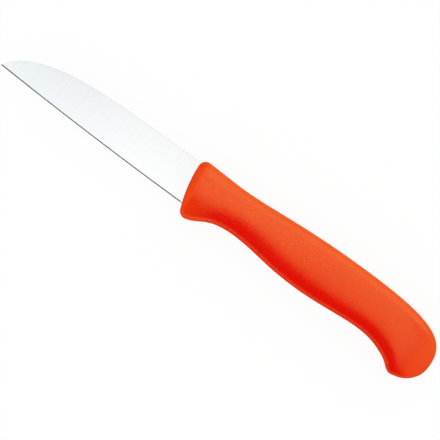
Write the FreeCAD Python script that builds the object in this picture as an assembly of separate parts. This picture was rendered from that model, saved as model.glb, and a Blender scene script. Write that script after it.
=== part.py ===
"""Paring knife: a taper-ground steel blade whose hidden tang is moulded into a plastic handle.

The knife lies on its side. +X runs along the cutting edge from the tip to the pommel, +Y points to
the back of the knife and +Z up through its thickness. Sizes are in millimetres, angles in degrees.
Everything is drawn from the heel, where the cutting edge meets the handle, and is moved to the
middle of the knife's footprint at the end.
"""
import FreeCAD
import Part
import math
import os

# Blade
blade_length = 80.0
heel_height = 15.6
spine_thickness = 1.2
shoulder_thickness = 0.3
bevel_height = 0.38
edge_thickness = 0.03
unsharpened_heel = 0.8
edge_sag = 0.45
spine_fall = 2.05

# Curve that takes the back of the blade down to the tip
drop_length = 46.0
tip_angle = 60.5
tip_reach = 6.5
drop_reach = 35.0

# Heel and tang inside the handle
heel_depth = 5.0
grind_runout = 2.5
tang_length = 60.0
tang_cover = 3.0
tang_end_height = 6.5
tang_corner = 1.5
lock_hole_diameter = 4.0
lock_hole_count = 2
lock_hole_pitch = 24.0
lock_hole_from_end = 12.0

# Handle: front, and where its back and belly turn, seen from the side
handle_length = 103.7
front_overhang = 3.5
front_setback = 1.6
front_rounding = 2.8
back_cover = 1.7
dip_at = 12.0
dip_depth = 0.25
crest_from_end = 31.7
crest_rise = 3.45
pommel_height = 6.7
beak_from_end = 10.2
beak_drop = 3.1
beak_angle = 34.0
sole_angle = 3.0
hollow_from_end = 27.6
hollow_rise = 2.75
swell_at = 47.0
swell_rise = 0.5
recess_at = 21.9
recess_rise = 2.08
guard_at = 3.7
guard_drop = 3.75

# Handle: how far each turn of the outline reaches along the curve
dip_reach = 14.0
crest_reach = 32.0
shoulder_reach = 24.5
pommel_reach = 10.6
heel_reach = 4.7
sole_reach = 6.5
beak_reach = 5.4
hollow_reach = 8.0
swell_reach = 12.0
recess_reach = 9.0
throat_reach = 13.0
guard_reach = 4.1

# Handle seen from above
handle_thickness = 12.6
recess_thickness = 10.8
palm_from_end = 42.0
side_reach = 6.0
palm_reach = 14.0
dome_reach = 28.0
dome_roundness = 5.2

# Cross-sections of the handle
section_squareness = 2.5
palm_squareness = 3.4
section_points = 24
section_spacing = 4.0
dome_sections = 8
gate_flat = 0.08

X = FreeCAD.Vector(1, 0, 0)
Y = FreeCAD.Vector(0, 1, 0)
Z = FreeCAD.Vector(0, 0, 1)
back_height = heel_height + back_cover
margin = 8.0


def point(x, y, z=0.0):
    """Point measured from the heel."""
    return FreeCAD.Vector(x, y, z)


def heading(angle):
    """Direction in the side view, turned from +X towards +Y."""
    return point(math.cos(math.radians(angle)), math.sin(math.radians(angle)))


def from_end(distance):
    """Place along the handle, measured forward from its far end."""
    return handle_length - distance


def bend(start, leave, arrive, end):
    """Curve between two points; it leaves and arrives along the two given reaches."""
    curve = Part.BezierCurve()
    curve.setPoles([start, start + leave, end + arrive, end])
    return curve.toShape()


def flat_face(edges):
    """Face inside a closed chain of edges."""
    return Part.Face(Part.Wire(edges))


def polygon(corners):
    """Face with straight sides."""
    return Part.Face(Part.makePolygon(corners + corners[:1]))


def slab(face, thickness):
    """Solid of even thickness about the middle plane of the knife."""
    return face.extrude(Z * thickness).translated(Z * (-thickness / 2))


def side_outline():
    """Face of the handle seen from the side; it runs on past the front, which is cut later."""
    start = point(-margin, back_height)
    dip = point(dip_at, back_height - dip_depth)
    crest = point(from_end(crest_from_end), back_height + crest_rise)
    pommel = point(handle_length, pommel_height)
    beak = point(from_end(beak_from_end), -beak_drop)
    hollow = point(from_end(hollow_from_end), hollow_rise)
    swell = point(swell_at, swell_rise)
    recess = point(recess_at, recess_rise)
    guard = point(guard_at, -guard_drop)
    under = point(-margin, -guard_drop)
    return flat_face([
        Part.makeLine(start, dip),
        bend(dip, X * dip_reach, X * -crest_reach, crest),
        bend(crest, X * shoulder_reach, Y * pommel_reach, pommel),
        bend(pommel, Y * -heel_reach, heading(sole_angle) * sole_reach, beak),
        bend(beak, heading(180 - beak_angle) * beak_reach, X * hollow_reach, hollow),
        bend(hollow, X * -hollow_reach, X * swell_reach, swell),
        bend(swell, X * -swell_reach, X * recess_reach, recess),
        bend(recess, X * -throat_reach, X * guard_reach, guard),
        Part.makeLine(guard, under),
        Part.makeLine(under, start),
    ])


def plan_outline():
    """Face of half the handle seen from above, from its middle plane outwards."""
    start = point(-margin, handle_thickness / 2)
    guard = point(guard_at, handle_thickness / 2)
    recess = point(recess_at, recess_thickness / 2)
    palm = point(from_end(palm_from_end), handle_thickness / 2)
    pommel = point(handle_length, 0)
    return flat_face([
        Part.makeLine(start, guard),
        bend(guard, X * side_reach, X * -side_reach, recess),
        bend(recess, X * palm_reach, X * -palm_reach, palm),
        bend(palm, X * dome_reach, Y * dome_roundness, pommel),
        Part.makeLine(pommel, point(-margin, 0)),
        Part.makeLine(point(-margin, 0), start),
    ])


def span(outline, x):
    """Lowest and highest point of an outline at one place along the handle."""
    box = outline.slice(X, x)[0].BoundBox
    return box.YMin, box.YMax


def squareness(x):
    """Power of the section's outline at one place: the grip's sides flatten from recess to palm."""
    share = (x - recess_at) / (from_end(palm_from_end) - recess_at)
    share = min(max(share, 0), 1)
    eased = share * share * (3 - 2 * share)
    return section_squareness + (palm_squareness - section_squareness) * eased


def rounded(share, power):
    """One coordinate of a rounded section, from the cosine or sine of its turn."""
    return math.copysign(abs(share) ** (2 / power), share)


def cross_section(x, side, plan):
    """Section of the handle at one place along it: an oval with flattened sides."""
    low, high = span(side, x)
    half_thickness = span(plan, x)[1]
    power = squareness(x)
    points = []
    for step in range(section_points):
        turn = 2 * math.pi * step / section_points
        y = (low + high - rounded(math.cos(turn), power) * (high - low)) / 2
        points.append(point(x, y, rounded(math.sin(turn), power) * half_thickness))
    curve = Part.BSplineCurve()
    curve.interpolate(Points=points, PeriodicFlag=True, Parameters=list(range(section_points + 1)))
    return Part.Wire([curve.toShape()])


def section_places():
    """Places of the sections along the handle: even along the grip, closer towards the far end."""
    hollow = from_end(hollow_from_end)
    beak = from_end(beak_from_end)
    turns = [-margin, guard_at, recess_at, swell_at, hollow, beak]
    places = []
    for start, end in zip(turns, turns[1:]):
        count = math.ceil((end - start) / section_spacing)
        places += [start + (end - start) * i / count for i in range(count)]
    for i in range(dome_sections + 1):
        share = math.sin(math.pi / 2 * i / dome_sections)
        places.append(beak + (beak_from_end - gate_flat) * share)
    return places


def front_block():
    """Solid that fills the space ahead of the handle's slanting, slightly bowed front."""
    low = point(front_setback, -guard_drop)
    high = point(-front_overhang, back_height)
    bow = Part.Arc(low, point(0, 0), high).toShape().Curve
    reach = bow.parameter(high) - bow.parameter(low)
    front = bow.toShape(bow.parameter(low) - reach / 2, bow.parameter(high) + reach / 2)
    ends = [front.Vertexes[-1].Point, front.Vertexes[0].Point]
    corners = [ends[0] - X * 3 * margin, ends[1] - X * 3 * margin]
    rim = Part.makePolygon([ends[0], corners[0], corners[1], ends[1]])
    return slab(flat_face([front] + rim.Edges), 2 * handle_thickness)


def handle_body():
    """Outer form of the handle, before the room for the blade is taken out."""
    side = side_outline()
    plan = plan_outline()
    sections = [cross_section(x, side, plan) for x in section_places()]
    body = Part.makeLoft(sections, True).cut(front_block())
    front = [face for face in body.Faces if isinstance(face.Surface, Part.Cylinder)]
    return body.makeFillet(front_rounding, front[0].Edges)


def spine_height(x):
    """Height of the straight part of the blade's back above the line from tip to heel."""
    return heel_height + x * math.tan(math.radians(spine_fall))


def cutting_edge():
    """Cutting edge: an arc that bows slightly below the line from tip to heel."""
    tip = point(-blade_length, 0)
    lowest = point(-blade_length / 2, -edge_sag)
    return Part.Arc(tip, lowest, point(0, 0)).toShape()


def blade_outline():
    """Face of the blade and of its heel, which sits at full height in the handle."""
    tip = point(-blade_length, 0)
    drop_at = drop_length - blade_length
    drop = point(drop_at, spine_height(drop_at))
    heel_low = point(heel_depth, 0)
    heel_at = heel_depth - front_overhang
    heel_high = point(heel_at, spine_height(heel_at))
    rim = Part.makePolygon([point(0, 0), heel_low, heel_high, drop])
    back = bend(drop, heading(180 + spine_fall) * drop_reach, heading(tip_angle) * tip_reach, tip)
    return flat_face([cutting_edge()] + rim.Edges + [back])


def tang_outline():
    """Face of the tang: it narrows to a round end and keeps its cover of plastic all along."""
    low = recess_rise + tang_cover
    high = back_height - dip_depth - tang_cover
    middle = (low + high) / 2
    radius = tang_end_height / 2
    end_low = point(tang_length - radius, middle - radius)
    end_high = point(tang_length - radius, middle + radius)
    end = Part.Arc(end_low, point(tang_length, middle), end_high).toShape()
    rim = Part.makePolygon([end_high, point(0, high), point(0, low), end_low])
    face = flat_face([end] + rim.Edges)
    for number in range(lock_hole_count):
        centre = point(tang_length - lock_hole_from_end - number * lock_hole_pitch, middle)
        hole = Part.makeCircle(lock_hole_diameter / 2, centre)
        face = face.cut(flat_face([hole]))
    return face


def blank():
    """Stamped blank: blade, heel and tang at full thickness, with eased corners at the tang."""
    low = recess_rise + tang_cover
    high = back_height - dip_depth - tang_cover
    plate = slab(blade_outline(), spine_thickness).fuse(slab(tang_outline(), spine_thickness))
    plate = plate.removeSplitter()
    corners = []
    for edge in plate.Edges:
        middle = edge.CenterOfMass
        upright = edge.BoundBox.ZLength > spine_thickness / 2
        near_tang = low - tang_corner < middle.y < high + tang_corner
        if upright and near_tang and 0 < middle.x < 2 * heel_depth:
            corners.append(edge)
    return plate.makeFillet(tang_corner, corners)


def flank_waste():
    """Steel ground off one flank: the blade tapers evenly from its back to the bevel."""
    top = spine_height(heel_depth)
    slope = (spine_thickness - shoulder_thickness) / 2 / (top - bevel_height)
    start = -blade_length - margin
    low = -margin
    high = top + margin
    low_z = shoulder_thickness / 2 + slope * (low - bevel_height)
    high_z = shoulder_thickness / 2 + slope * (high - bevel_height)
    face = polygon([
        point(start, low, low_z),
        point(start, high, high_z),
        point(start, high, 2 * high_z),
        point(start, low, 2 * high_z),
    ])
    return face.extrude(X * (grind_runout - start))


def bevel_waste():
    """Steel ground off one side of the cutting edge; the last stretch at the heel stays blunt."""
    arc = cutting_edge().Curve
    slope = (shoulder_thickness - edge_thickness) / 2 / bevel_height
    outer = arc.Center.y - arc.Radius - bevel_height
    inner = outer + 3 * bevel_height
    face = polygon([
        point(arc.Center.x, outer, edge_thickness / 2 - slope * bevel_height),
        point(arc.Center.x, inner, edge_thickness / 2 + slope * 2 * bevel_height),
        point(arc.Center.x, inner, spine_thickness),
        point(arc.Center.x, outer, spine_thickness),
    ])
    first = -math.degrees(math.asin((blade_length / 2 + margin) / arc.Radius))
    last = math.degrees(math.asin((blade_length / 2 - unsharpened_heel) / arc.Radius))
    face.rotate(arc.Center, Z, first)
    return face.revolve(arc.Center, Z, last - first)


def ground_blade():
    """Blade with both flanks and both bevels ground."""
    blade = blank()
    for waste in (flank_waste(), bevel_waste()):
        blade = blade.cut([waste, waste.mirror(point(0, 0), Z)])
    return blade


def build():
    """Mould the handle round the tang, centre the knife and write its two pieces."""
    body = handle_body()
    blade = ground_blade()
    handle = body.cut(blade)
    # the line where the blade leaves the handle is kept as an edge on the blade
    blade = blade.cut(body).fuse(blade.common(body))
    box = Part.makeCompound([blade, handle]).optimalBoundingBox(False, False)
    place = -point(box.Center.x, box.Center.y, box.ZMin)
    os.makedirs("parts", exist_ok=True)
    for name, shape in (("blade", blade), ("handle", handle)):
        shape.Solids[0].translated(place).exportStep("parts/" + name + ".step")


build()
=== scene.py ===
import math
from types import SimpleNamespace

import bpy
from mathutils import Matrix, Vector


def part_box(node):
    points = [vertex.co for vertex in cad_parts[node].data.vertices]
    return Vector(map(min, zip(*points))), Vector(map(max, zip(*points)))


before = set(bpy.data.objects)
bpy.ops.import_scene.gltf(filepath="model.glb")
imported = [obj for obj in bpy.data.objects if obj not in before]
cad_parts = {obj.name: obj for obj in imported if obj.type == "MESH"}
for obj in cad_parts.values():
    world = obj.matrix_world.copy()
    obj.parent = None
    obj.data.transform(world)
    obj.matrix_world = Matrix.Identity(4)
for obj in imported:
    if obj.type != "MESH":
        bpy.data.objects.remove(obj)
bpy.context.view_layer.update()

bl_info = {
    "name": "Paring knife finishes",
    "version": (1, 0, 0),
    "blender": (4, 5, 0),
    "location": "View3D > Sidebar > Knife",
    "description": "Finishes the steel and the moulded plastic of a paring knife and sets its stage",
    "category": "Object",
}

# Places on the knife, in metres from the middle of its footprint
blade_low, blade_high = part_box("blade")
handle_low, handle_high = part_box("handle")
middle_height = (handle_low.z + handle_high.z) / 2
picture_middle = (0.00238, -0.00501)

# Stretches along or across the knife in which a finish, a painted shade or a painted sheen comes in or goes
# out
tip_fade = (blade_low.x + 0.004, blade_low.x + 0.072)
blunt_start = (blade_low.x + 0.0790, blade_low.x + 0.0793)
blunt_rim = (blade_low.y + 0.00065, blade_low.y + 0.00090)
front_wear = (handle_low.x + 0.002, handle_low.x + 0.007)
front_fade = (handle_low.x + 0.003, handle_low.x + 0.006)
guard_fade = (handle_low.x + 0.006, handle_low.x + 0.016)
guard_rise = (handle_low.y + 0.0048, handle_low.y + 0.0090)
palm_start = (handle_low.x + 0.035, handle_low.x + 0.065)
pommel_wear_and_sheen = (handle_high.x - 0.010, handle_high.x - 0.002)
beak_start = (handle_high.x - 0.012, handle_high.x + 0.006)

# Shift of the front end along the handle for each length across it, because it leans
front_lean = 0.2

# Limits between which a normal is turned far enough for a finish, for the painted shade on the corners or
# for the painted sheen along the back
honed_turn = (0.985, 0.995)
stamped_turn = (0.40, 0.60)
corner_turn = (0.90, 0.995)
polished_turn = (0.10, 0.40)
rim_turn = (0.50, 0.90)

# Marks on the steel: their width beside their length, and how many there are to one grinding mark
mark_stretch = 0.02
sweep_ratio = 0.12
hone_ratio = 2
pit_ratio = 0.5

# How much the sweeps and the painted shade on the eased corners show, and the tones of that painted shade
# and of the painted dark line on the blunt heel
sweep_limits = (0.4, 0.9)
sweep_cover = 0.02
corner_shade_cover = 0.5
corner_shade_tone = 1.2
blunt_shade_tone = 2.0

# Roughness that the marks vary by, and that each kind of face adds or takes
mark_roughness = 0.10
sweep_roughness = 0.06
honed_smoothness = 0.06
stamped_roughness = 0.16
corner_smoothness = 0.05

# Pattern of the plastic, and how much its crests and its mould line with their painted highlights, the
# painted sheen at its ends and guard, and its wear show
flow_scale = 60.0
flow_limits = (0.35, 0.65)
crest_limits = (0.40, 0.75)
smoothing = 0.65
crest_highlight_cover = 0.7
seam_highlight_cover = 0.35
seam_core = 0.4
seam_height = 1.5
pommel_sheen_cover = 0.6
guard_sheen_cover = 0.55
front_sheen_cover = 0.7
grain_roughness = 0.06
flow_roughness = 0.06
worn_smoothness = 0.08

# Share of the gloss that dull places lose, that all the rest keeps, and that the crests add
grip_dulling = 0.5
front_dulling = 0.6
plain_gloss = 0.94
crest_gloss = 0.3

# Share of white that the camera sees in the floor, and that gloss shows of the floor and the studio
floor_white = 0.93
gloss_white = 0.25

# Floor and studio: half the floor's length, its mottle, the edge of the dark screen, and their tones
floor_reach = 30.0
mottle_scale = 40.0
screen_edge = (-0.08, 0.12)
white = (1.0, 1.0, 1.0, 1.0)
black = (0.0, 0.0, 0.0, 1.0)
studio_grey = (0.8, 0.8, 0.8, 1.0)
screen_grey = (0.02, 0.02, 0.02, 1.0)


class BladeLook(bpy.types.PropertyGroup):
    """Finish of the steel blade."""

    steel: bpy.props.FloatVectorProperty(
        name="Steel",
        description="Colour of the ground flanks beside the cutting edge",
        subtype="COLOR",
        size=3,
        min=0.0,
        max=1.0,
        default=(0.905, 0.91, 0.91),
    )
    # Painted shade: a share of the flanks' brightness is taken away toward the back.
    painted_back_shade: bpy.props.FloatProperty(
        name="Dulling",
        description="Share of the brightness that the duller grinding beside the back takes",
        subtype="FACTOR",
        min=0.0,
        max=1.0,
        default=0.11,
    )
    # Painted shade and painted cool reflection: the flanks grow darker and bluer toward the tip.
    painted_tip_shade: bpy.props.FloatVectorProperty(
        name="Steel at the tip",
        description="Colour of the flanks at the tip",
        subtype="COLOR",
        size=3,
        min=0.0,
        max=1.0,
        default=(0.70, 0.735, 0.755),
    )
    # Painted shade: this dark colour stands in for the bevel's dark reflection, which the dark screen also
    # gives for real.
    painted_dark_bevel: bpy.props.FloatVectorProperty(
        name="Sharpened steel",
        description="Colour of the narrow bevel at the cutting edge",
        subtype="COLOR",
        size=3,
        min=0.0,
        max=1.0,
        default=(0.17, 0.17, 0.18),
    )
    rough_steel: bpy.props.FloatVectorProperty(
        name="Stamped steel",
        description="Colour of the back of the blade, which is stamped and not ground",
        subtype="COLOR",
        size=3,
        min=0.0,
        max=1.0,
        default=(0.50, 0.50, 0.52),
    )
    grind_spacing: bpy.props.FloatProperty(
        name="Grinding marks",
        description="Mean distance between the marks that run across the flanks",
        unit="LENGTH",
        default=0.00012,
        precision=6,
    )
    grind_depth: bpy.props.FloatProperty(
        name="Mark depth",
        description="Depth of the grinding marks",
        unit="LENGTH",
        default=0.000002,
        precision=6,
    )
    easing: bpy.props.FloatProperty(
        name="Eased corners",
        description="Radius that wear has put on the corners of the back",
        unit="LENGTH",
        default=0.0002,
        precision=6,
    )
    satin: bpy.props.FloatProperty(
        name="Satin",
        description="Roughness of the ground flanks",
        subtype="FACTOR",
        min=0.0,
        max=1.0,
        default=0.17,
    )


class HandleLook(bpy.types.PropertyGroup):
    """Finish of the moulded handle."""

    plastic: bpy.props.FloatVectorProperty(
        name="Plastic",
        description="Colour of the plastic",
        subtype="COLOR",
        size=3,
        min=0.0,
        max=1.0,
        default=(0.74, 0.0032, 0.0006),
    )
    # Painted sheen: a lighter orange painted along the back, at the ends and on the guard in place of their
    # highlights.
    painted_sheen_plastic: bpy.props.FloatVectorProperty(
        name="Worn plastic",
        description="Colour of the plastic where hands rub it: along the back, at the ends and on the guard",
        subtype="COLOR",
        size=3,
        min=0.0,
        max=1.0,
        default=(0.83, 0.053, 0.004),
    )
    # Painted highlight: this lighter, pinker colour stands in for glints on the grain's crests and on the
    # mould line.
    painted_highlight_plastic: bpy.props.FloatVectorProperty(
        name="Grain crests",
        description="Colour of the plastic on the crests of the mould grain and on the mould line",
        subtype="COLOR",
        size=3,
        min=0.0,
        max=1.0,
        default=(0.86, 0.010, 0.009),
    )
    sheen: bpy.props.FloatVectorProperty(
        name="Sheen",
        description="Tint of the light that the surface of the plastic throws back",
        subtype="COLOR",
        size=3,
        min=0.0,
        max=1.0,
        default=(1.0, 0.97, 0.25),
    )
    gloss: bpy.props.FloatProperty(
        name="Gloss",
        description="Share of the light that the surface of the plastic throws back",
        subtype="FACTOR",
        min=0.0,
        max=1.0,
        default=0.075,
    )
    grain_size: bpy.props.FloatProperty(
        name="Grain",
        description="Distance between the grains of the spark-eroded mould",
        unit="LENGTH",
        default=0.0007,
        precision=6,
    )
    grain_depth: bpy.props.FloatProperty(
        name="Grain depth",
        description="Depth of the mould grain",
        unit="LENGTH",
        default=0.000012,
        precision=6,
    )
    seam_width: bpy.props.FloatProperty(
        name="Mould line",
        description="Width of the line where the two halves of the mould met",
        unit="LENGTH",
        default=0.00016,
        precision=6,
    )
    roughness: bpy.props.FloatProperty(
        name="Roughness",
        description="Roughness of the grained plastic",
        subtype="FACTOR",
        min=0.0,
        max=1.0,
        default=0.26,
    )


class StageLook(bpy.types.PropertyGroup):
    """Floor, light and camera."""

    floor: bpy.props.FloatVectorProperty(
        name="Floor",
        description="Colour of the floor",
        subtype="COLOR",
        size=3,
        min=0.0,
        max=1.0,
        default=(0.90, 0.90, 0.90),
    )
    turn: bpy.props.FloatProperty(
        name="Turn",
        description="Turn of the picture about the line of sight",
        subtype="ANGLE",
        default=math.radians(37.44),
    )
    distance: bpy.props.FloatProperty(
        name="Distance",
        description="From the middle of the knife to the camera",
        unit="LENGTH",
        default=1.0,
    )
    picture_width: bpy.props.FloatProperty(
        name="Picture width",
        description="Width of what the picture shows, at the middle of the knife",
        unit="LENGTH",
        default=0.1544,
    )


class Socket:
    """Output of a node. Arithmetic between outputs and numbers adds Math nodes."""

    def __init__(self, tree, output):
        self.tree = tree
        self.output = output

    def math(self, operation, *values):
        return self.tree.add("ShaderNodeMath", {"operation": operation}, dict(enumerate(values)))

    def __add__(self, other):
        return self.math("ADD", self, other)

    def __radd__(self, other):
        return self.math("ADD", other, self)

    def __sub__(self, other):
        return self.math("SUBTRACT", self, other)

    def __rsub__(self, other):
        return self.math("SUBTRACT", other, self)

    def __mul__(self, other):
        return self.math("MULTIPLY", self, other)

    def __rmul__(self, other):
        return self.math("MULTIPLY", other, self)

    def __truediv__(self, other):
        return self.math("DIVIDE", self, other)

    def __rtruediv__(self, other):
        return self.math("DIVIDE", other, self)

    def __abs__(self):
        return self.math("ABSOLUTE", self)

    def larger(self, other):
        return self.math("MAXIMUM", self, other)


class Shading:
    """Node tree of a material or of the surroundings; every node in it comes from add()."""

    def __init__(self, owner):
        owner.use_nodes = True
        self.nodes = owner.node_tree.nodes
        self.links = owner.node_tree.links
        self.nodes.clear()

    def add(self, kind, settings, inputs, output=0):
        """Add a node: first its settings, then the values or links of its sockets."""
        node = self.nodes.new(kind)
        for name, value in settings.items():
            setattr(node, name, value)
        for key, value in inputs.items():
            if isinstance(value, Socket):
                self.links.new(value.output, node.inputs[key])
            else:
                node.inputs[key].default_value = value
        if not node.outputs:
            return node
        return Socket(self, node.outputs[output])

    def place(self):
        """Place on the knife, in metres."""
        return self.add("ShaderNodeTexCoord", {}, {}, "Object")

    def parts_of(self, vector):
        """X, Y and Z of a vector."""
        first = self.add("ShaderNodeSeparateXYZ", {}, {0: vector})
        node = first.output.node
        return [Socket(self, output) for output in node.outputs]

    def stretched(self, vector, scale):
        """Vector with each coordinate scaled."""
        return self.add("ShaderNodeVectorMath", {"operation": "MULTIPLY"}, {0: vector, 1: scale})

    def noise(self, vector, scale, detail=2.0, roughness=0.5):
        """Even noise about one half."""
        inputs = {"Vector": vector, "Scale": scale, "Detail": detail, "Roughness": roughness}
        return self.add("ShaderNodeTexNoise", {}, inputs)

    def step(self, value, start, end):
        """Soft step from 0 at start to 1 at end."""
        inputs = {0: value, 1: start, 2: end, 3: 0.0, 4: 1.0}
        return self.add("ShaderNodeMapRange", {"interpolation_type": "SMOOTHSTEP"}, inputs)

    def mixed(self, share, first, second):
        """Colour between two colours."""
        return self.add("ShaderNodeMix", {"data_type": "RGBA"}, {0: share, 6: first, 7: second}, 2)

    def varied(self, pattern, colour, darkest, lightest):
        """Colour between a darker and a lighter tone of itself."""
        return self.mixed(pattern, opaque(colour, darkest), opaque(colour, lightest))

    def bump(self, height, depth, normal=None):
        """Normal of a surface raised by height times depth."""
        inputs = {"Height": height, "Distance": depth, "Strength": 1.0}
        if normal is not None:
            inputs["Normal"] = normal
        return self.add("ShaderNodeBump", {}, inputs)

    def surface(self, shader):
        """Give the shader to the surface."""
        self.add("ShaderNodeOutputMaterial", {}, {"Surface": shader})


def opaque(colour, share=1.0):
    """Colour with full cover, brightened or darkened by a share."""
    return (colour[0] * share, colour[1] * share, colour[2] * share, 1.0)


def dress(node_name, material):
    """Give a material to every slot of a node."""
    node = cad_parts[node_name]
    if not node.material_slots:
        raise RuntimeError(node_name + " has no material slot")
    for slot in node.material_slots:
        slot.material = material


def blade_zones(tree, place, eased):
    """Kinds of face on the blade, and how near a place is to its tip and its back, each from 0 to 1."""
    x, y = tree.parts_of(place)[:2]
    facing = tree.add("ShaderNodeNewGeometry", {}, {}, "True Normal")
    up = abs(tree.parts_of(facing)[2])
    turn = tree.add("ShaderNodeVectorMath", {"operation": "DOT_PRODUCT"}, {0: eased, 1: facing}, "Value")
    honed = 1 - tree.step(up, *honed_turn)
    return SimpleNamespace(
        honed=honed,
        stamped=1 - tree.step(up, *stamped_turn),
        corner=(1 - tree.step(turn, *corner_turn)) * (1 - honed),
        blunt=tree.step(x, *blunt_start) * (1 - tree.step(y, *blunt_rim)),
        tip=1 - tree.step(x, *tip_fade),
        rise=(y - blade_low.y) / (blade_high.y - blade_low.y),
    )


def steel_marks(tree, place, spacing):
    """Grinding marks and wide sweeps across the blade, honing marks along its edge, and pits."""
    across = tree.stretched(place, (1.0, mark_stretch, mark_stretch))
    along = tree.stretched(place, (mark_stretch, 1.0, 1.0))
    return SimpleNamespace(
        ground=tree.noise(across, 1 / spacing, detail=3.0, roughness=0.6),
        sweeps=tree.noise(across, sweep_ratio / spacing),
        honed=tree.noise(along, hone_ratio / spacing),
        pits=tree.noise(place, pit_ratio / spacing, detail=4.0, roughness=0.7),
    )


def steel_colour(tree, look, zones, marks):
    """Pale flanks with painted shade toward the back and the tip, a bevel darkened by painted shade, and a
    grey back; the eased corners get a painted shade line, lighter than the back, and the blunt heel a
    painted dark line.
    """
    # Painted shade: the flanks blend toward a darker, bluer colour near the tip.
    flank = tree.mixed(zones.tip, opaque(look.steel), opaque(look.painted_tip_shade))
    # Painted shade darkens the flanks toward the back; the sweeps add a little random darkening.
    toned_down = zones.rise * look.painted_back_shade + tree.step(marks.sweeps, *sweep_limits) * sweep_cover
    flank = tree.mixed(toned_down, flank, black)
    # The bevel's colour is painted shade; the honing marks vary it.
    bevel = tree.varied(marks.honed, look.painted_dark_bevel, darkest=0.85, lightest=1.15)
    back = tree.varied(marks.pits, look.rough_steel, darkest=0.8, lightest=1.1)
    colour = tree.mixed(zones.stamped, tree.mixed(zones.honed, flank, bevel), back)
    # Painted shade: a grey line on the eased corners of the back, darker than the flanks and lighter than
    # the back.
    colour = tree.mixed(zones.corner * corner_shade_cover, colour, opaque(look.rough_steel, corner_shade_tone))
    # Painted shade: a dark line on the blunt heel continues the bevel's dark line up to the handle.
    return tree.mixed(zones.blunt, colour, opaque(look.painted_dark_bevel, blunt_shade_tone))


def steel_roughness(look, zones, marks):
    """Satin that the marks break up, smoother on the bevel and the corners, rougher on the back."""
    satin = look.satin + (marks.ground - 0.5) * mark_roughness + (marks.sweeps - 0.5) * sweep_roughness
    satin = satin - zones.honed * honed_smoothness + zones.stamped * stamped_roughness
    return satin - zones.corner * corner_smoothness


def steel_height(zones, marks):
    """Height of the marks that belong to each kind of face."""
    ground = marks.ground * (1 - zones.honed)
    honed = marks.honed * zones.honed * (1 - zones.stamped)
    return ground + honed + marks.pits * zones.stamped


class KNIFE_OT_blade(bpy.types.Operator):
    """Finish the blade: ground flanks, a honed bevel and a stamped back"""

    bl_idname = "knife.blade"
    bl_label = "Blade"

    def execute(self, context):
        look = context.scene.knife_blade
        material = bpy.data.materials.new("satin_steel")
        tree = Shading(material)
        place = tree.place()
        eased = tree.add("ShaderNodeBevel", {"samples": 4}, {"Radius": look.easing})
        zones = blade_zones(tree, place, eased)
        marks = steel_marks(tree, place, look.grind_spacing)
        steel = tree.add("ShaderNodeBsdfPrincipled", {}, {
            "Base Color": steel_colour(tree, look, zones, marks),
            "Metallic": 1.0,
            "Roughness": steel_roughness(look, zones, marks),
            "Normal": tree.bump(steel_height(zones, marks), look.grind_depth, eased),
        })
        tree.surface(steel)
        dress("blade", material)
        return {"FINISHED"}


def handle_zones(tree, place, seam_width):
    """Places on the handle where its finish changes, each from 0 to 1."""
    x, y, z = tree.parts_of(place)
    facing = tree.add("ShaderNodeNewGeometry", {}, {}, "Normal")
    to_back = tree.parts_of(facing)[1]
    half_seam = seam_width / 2
    pommel = tree.step(x, *pommel_wear_and_sheen)
    return SimpleNamespace(
        seam=1 - tree.step(abs(z - middle_height), half_seam * seam_core, half_seam),
        pommel=pommel,
        ends=pommel.larger(1 - tree.step(x, *front_wear)),
        front=1 - tree.step(x + y * front_lean, *front_fade),
        guard=(1 - tree.step(x, *guard_fade)) * (1 - tree.step(y, *guard_rise)),
        palm=tree.step(x, *palm_start),
        beak=tree.step(x - y, *beak_start),
        polished=tree.step(to_back, *polished_turn),
        back=tree.step(to_back, *rim_turn),
        belly=tree.step(-1 * to_back, *rim_turn),
    )


def plastic_pattern(tree, place, zones, grain_size):
    """Mould grain, which wear has smoothed, its crests, the flow of the plastic, and its worn ends."""
    speck = tree.noise(place, 1 / grain_size, roughness=0.6)
    flow = tree.noise(place, flow_scale, detail=3.0, roughness=0.6)
    worn = zones.ends * tree.step(flow, *flow_limits)
    grained = 1 - worn.larger(zones.palm).larger(zones.polished) * smoothing
    return SimpleNamespace(
        speck=speck,
        flow=flow,
        worn=worn,
        grain=speck * grained,
        crest=tree.step(speck, *crest_limits) * grained,
    )


def plastic_colour(tree, look, zones, pattern):
    """Plastic with painted highlights on the crests and the mould line, and a painted sheen along the back,
    at the ends and on the guard.
    """
    plain = tree.varied(pattern.flow, look.plastic, darkest=0.95, lightest=1.04)
    # Painted highlight on the grain's crests.
    colour = tree.mixed(pattern.crest * crest_highlight_cover, plain, opaque(look.painted_highlight_plastic))
    # Painted sheen: the lighter orange along the back, on the pommel, on the guard and at the front.
    painted_sheen_share = zones.back.larger(zones.pommel * pommel_sheen_cover)
    painted_sheen_share = painted_sheen_share.larger(zones.guard * guard_sheen_cover).larger(zones.front * front_sheen_cover)
    colour = tree.mixed(painted_sheen_share, colour, opaque(look.painted_sheen_plastic))
    # Painted highlight along the mould line.
    return tree.mixed(zones.seam * seam_highlight_cover, colour, opaque(look.painted_highlight_plastic))


def plastic_roughness(look, pattern):
    """Roughness that follows the grain and the flow, and is less where the ends are worn."""
    grained = look.roughness + (pattern.speck - 0.5) * grain_roughness
    return grained + (pattern.flow - 0.5) * flow_roughness - pattern.worn * worn_smoothness


def plastic_gloss(look, zones, crest):
    """Share of gloss: less at the front, on the belly's rim and on the beak, more on the crests."""
    toned_down = (zones.beak.larger(zones.belly) * grip_dulling).larger(zones.front * front_dulling)
    return look.gloss * (1 - toned_down) * (plain_gloss + crest * crest_gloss)


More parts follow.
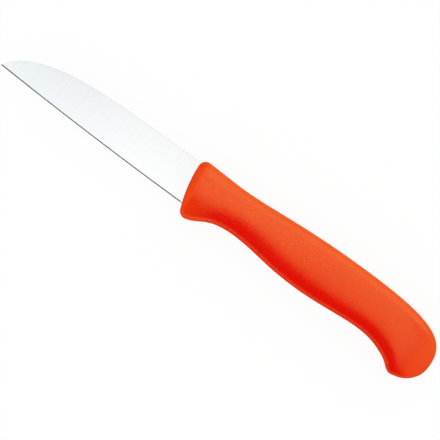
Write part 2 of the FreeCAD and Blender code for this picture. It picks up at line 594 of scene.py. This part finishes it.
class KNIFE_OT_handle(bpy.types.Operator):
    """Finish the handle: grained plastic with a mould line, worn places, and painted sheen and highlights"""

    bl_idname = "knife.handle"
    bl_label = "Handle"

    def execute(self, context):
        look = context.scene.knife_handle
        material = bpy.data.materials.new("grained_plastic")
        tree = Shading(material)
        place = tree.place()
        zones = handle_zones(tree, place, look.seam_width)
        pattern = plastic_pattern(tree, place, zones, look.grain_size)
        roughness = plastic_roughness(look, pattern)
        normal = tree.bump(pattern.grain + zones.seam * seam_height, look.grain_depth)
        body = tree.add("ShaderNodeBsdfPrincipled", {}, {
            "Base Color": plastic_colour(tree, look, zones, pattern),
            "Roughness": roughness,
            "Specular IOR Level": 0.0,
            "Normal": normal,
        })
        haze = tree.add("ShaderNodeBsdfGlossy", {}, {
            "Color": opaque(look.sheen),
            "Roughness": roughness,
            "Normal": normal,
        })
        gloss = plastic_gloss(look, zones, pattern.crest)
        plastic = tree.add("ShaderNodeMixShader", {}, {0: gloss, 1: body, 2: haze})
        tree.surface(plastic)
        dress("handle", material)
        return {"FINISHED"}


def seen_rays(tree, in_camera, in_gloss):
    """Share of a surface's white that the camera sees, and that gloss and glass show."""
    camera = tree.add("ShaderNodeLightPath", {}, {}, "Is Camera Ray")
    outputs = camera.output.node.outputs
    glossy = Socket(tree, outputs["Is Glossy Ray"])
    through = Socket(tree, outputs["Is Transmission Ray"])
    return camera * in_camera + glossy.larger(through) * in_gloss


def floor_material(look):
    """Pale floor that keeps a little of the shadow. Its white is for the camera and gloss, not a lamp."""
    material = bpy.data.materials.new("pale_floor")
    material.cycles.emission_sampling = "NONE"
    tree = Shading(material)
    mottle = tree.noise(tree.place(), mottle_scale, detail=3.0)
    colour = tree.varied(mottle, look.floor, darkest=0.985, lightest=1.0)
    matte = tree.add("ShaderNodeBsdfDiffuse", {}, {"Color": colour})
    glow = tree.add("ShaderNodeEmission", {}, {"Color": white, "Strength": 1.0})
    share = seen_rays(tree, floor_white, gloss_white)
    tree.surface(tree.add("ShaderNodeMixShader", {}, {0: share, 1: matte, 2: glow}))
    return material


def lay_floor(look):
    """Large flat floor under the knife."""
    near, far = -floor_reach, floor_reach
    corners = [(near, near, 0), (far, near, 0), (far, far, 0), (near, far, 0)]
    mesh = bpy.data.meshes.new("floor")
    mesh.from_pydata(corners, [], [(0, 1, 2, 3)])
    floor = bpy.data.objects.new("floor", mesh)
    bpy.context.scene.collection.objects.link(floor)
    mesh.materials.append(floor_material(look))


def surround():
    """Pale studio round the knife, with a dark screen on the side of the cutting edge."""
    world = bpy.data.worlds.new("studio")
    bpy.context.scene.world = world
    tree = Shading(world)
    x, y = tree.parts_of(tree.add("ShaderNodeTexCoord", {}, {}, "Generated"))[:2]
    screen = tree.step(-1 * y - abs(x), *screen_edge)
    studio = tree.mixed(screen, studio_grey, screen_grey)
    colour = tree.mixed(seen_rays(tree, 1.0, (1 - screen) * gloss_white), studio, white)
    light = tree.add("ShaderNodeBackground", {}, {"Color": colour, "Strength": 1.0})
    tree.add("ShaderNodeOutputWorld", {}, {"Surface": light})


def aim(lamp, node_name, state):
    """Let a lamp light one node alone (INCLUDE) or all but that one (EXCLUDE)."""
    chosen = bpy.data.collections.new(lamp.name + "_nodes")
    chosen.objects.link(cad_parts[node_name])
    chosen.collection_objects[0].light_linking.link_state = state
    lamp.light_linking.receiver_collection = chosen


def hang_lamp(name, near, far, middle, width, radiance, in_gloss=True):
    """Flat soft lamp between two lines along the knife, each given by its place across and its height.

    Its power grows with its area, so that radiance alone sets how bright it looks.
    """
    across = Vector((0.0, far[0] - near[0], far[1] - near[1]))
    data = bpy.data.lights.new(name, "AREA")
    data.shape = "RECTANGLE"
    data.size = width
    data.size_y = across.length
    data.energy = radiance * math.pi * data.size * data.size_y
    data.cycles.use_multiple_importance_sampling = in_gloss
    lamp = bpy.data.objects.new(name, data)
    lamp.location = (middle, (near[0] + far[0]) / 2, (near[1] + far[1]) / 2)
    lamp.rotation_euler = (math.atan2(across.z, across.y), 0.0, 0.0)
    lamp.visible_glossy = in_gloss
    bpy.context.scene.collection.objects.link(lamp)
    return lamp


def light_handle():
    """Softboxes above and behind the handle, kept off the blade, which would mirror them as white."""
    overhead = hang_lamp(
        "overhead_softbox",
        near=(-0.040, 0.90),
        far=(0.75, 0.90),
        middle=0.07,
        width=0.70,
        radiance=0.62,
    )
    behind = hang_lamp(
        "back_softbox",
        near=(0.75, 0.90),
        far=(1.12, 0.12),
        middle=0.22,
        width=1.10,
        radiance=1.00,
    )
    for lamp in (overhead, behind):
        aim(lamp, "blade", "EXCLUDE")


def light_blade():
    """Softboxes for the blade alone, above it and before its edge."""
    above = hang_lamp(
        "blade_softbox",
        near=(-0.30, 0.90),
        far=(0.06, 0.90),
        middle=-0.05,
        width=0.70,
        radiance=0.65,
    )
    before = hang_lamp(
        "edge_softbox",
        near=(-1.10, 0.10),
        far=(-0.52, 0.90),
        middle=0.0,
        width=2.00,
        radiance=0.50,
    )
    for lamp in (above, before):
        aim(lamp, "blade", "INCLUDE")


def light_knife():
    """Softboxes for each piece, and a fill that gloss doesn't show."""
    light_handle()
    light_blade()
    hang_lamp(
        "fill",
        near=(-1.05, 0.25),
        far=(-0.45, 0.95),
        middle=0.0,
        width=1.40,
        radiance=1.60,
        in_gloss=False,
    )


def set_camera(look):
    """Camera straight above the knife, turned as the picture is."""
    data = bpy.data.cameras.new("camera")
    data.lens = data.sensor_width * look.distance / look.picture_width
    camera = bpy.data.objects.new("camera", data)
    camera.location = (*picture_middle, middle_height + look.distance)
    camera.rotation_euler = (0.0, 0.0, look.turn)
    bpy.context.scene.collection.objects.link(camera)
    bpy.context.scene.camera = camera


class KNIFE_OT_stage(bpy.types.Operator):
    """Lay the floor, light the knife and set the camera"""

    bl_idname = "knife.stage"
    bl_label = "Stage"

    def execute(self, context):
        look = context.scene.knife_stage
        context.scene.view_settings.view_transform = "Standard"
        lay_floor(look)
        surround()
        light_knife()
        set_camera(look)
        return {"FINISHED"}


class KNIFE_PT_finishes(bpy.types.Panel):
    """Finishes of the knife"""

    bl_label = "Knife"
    bl_space_type = "VIEW_3D"
    bl_region_type = "UI"
    bl_category = "Knife"

    def draw(self, context):
        groups = (
            ("knife.blade", context.scene.knife_blade),
            ("knife.handle", context.scene.knife_handle),
            ("knife.stage", context.scene.knife_stage),
        )
        for operator, look in groups:
            box = self.layout.box()
            for name in look.__annotations__:
                box.prop(look, name)
            box.operator(operator)


looks = {"knife_blade": BladeLook, "knife_handle": HandleLook, "knife_stage": StageLook}
tools = (KNIFE_OT_blade, KNIFE_OT_handle, KNIFE_OT_stage, KNIFE_PT_finishes)


def register():
    for name, group in looks.items():
        bpy.utils.register_class(group)
        setattr(bpy.types.Scene, name, bpy.props.PointerProperty(type=group))
    for tool in tools:
        bpy.utils.register_class(tool)


def unregister():
    for tool in reversed(tools):
        bpy.utils.unregister_class(tool)
    for name, group in looks.items():
        delattr(bpy.types.Scene, name)
        bpy.utils.unregister_class(group)


def main():
    register()
    bpy.ops.knife.stage()
    bpy.ops.knife.blade()
    bpy.ops.knife.handle()


if __name__ == "__main__":
    main()
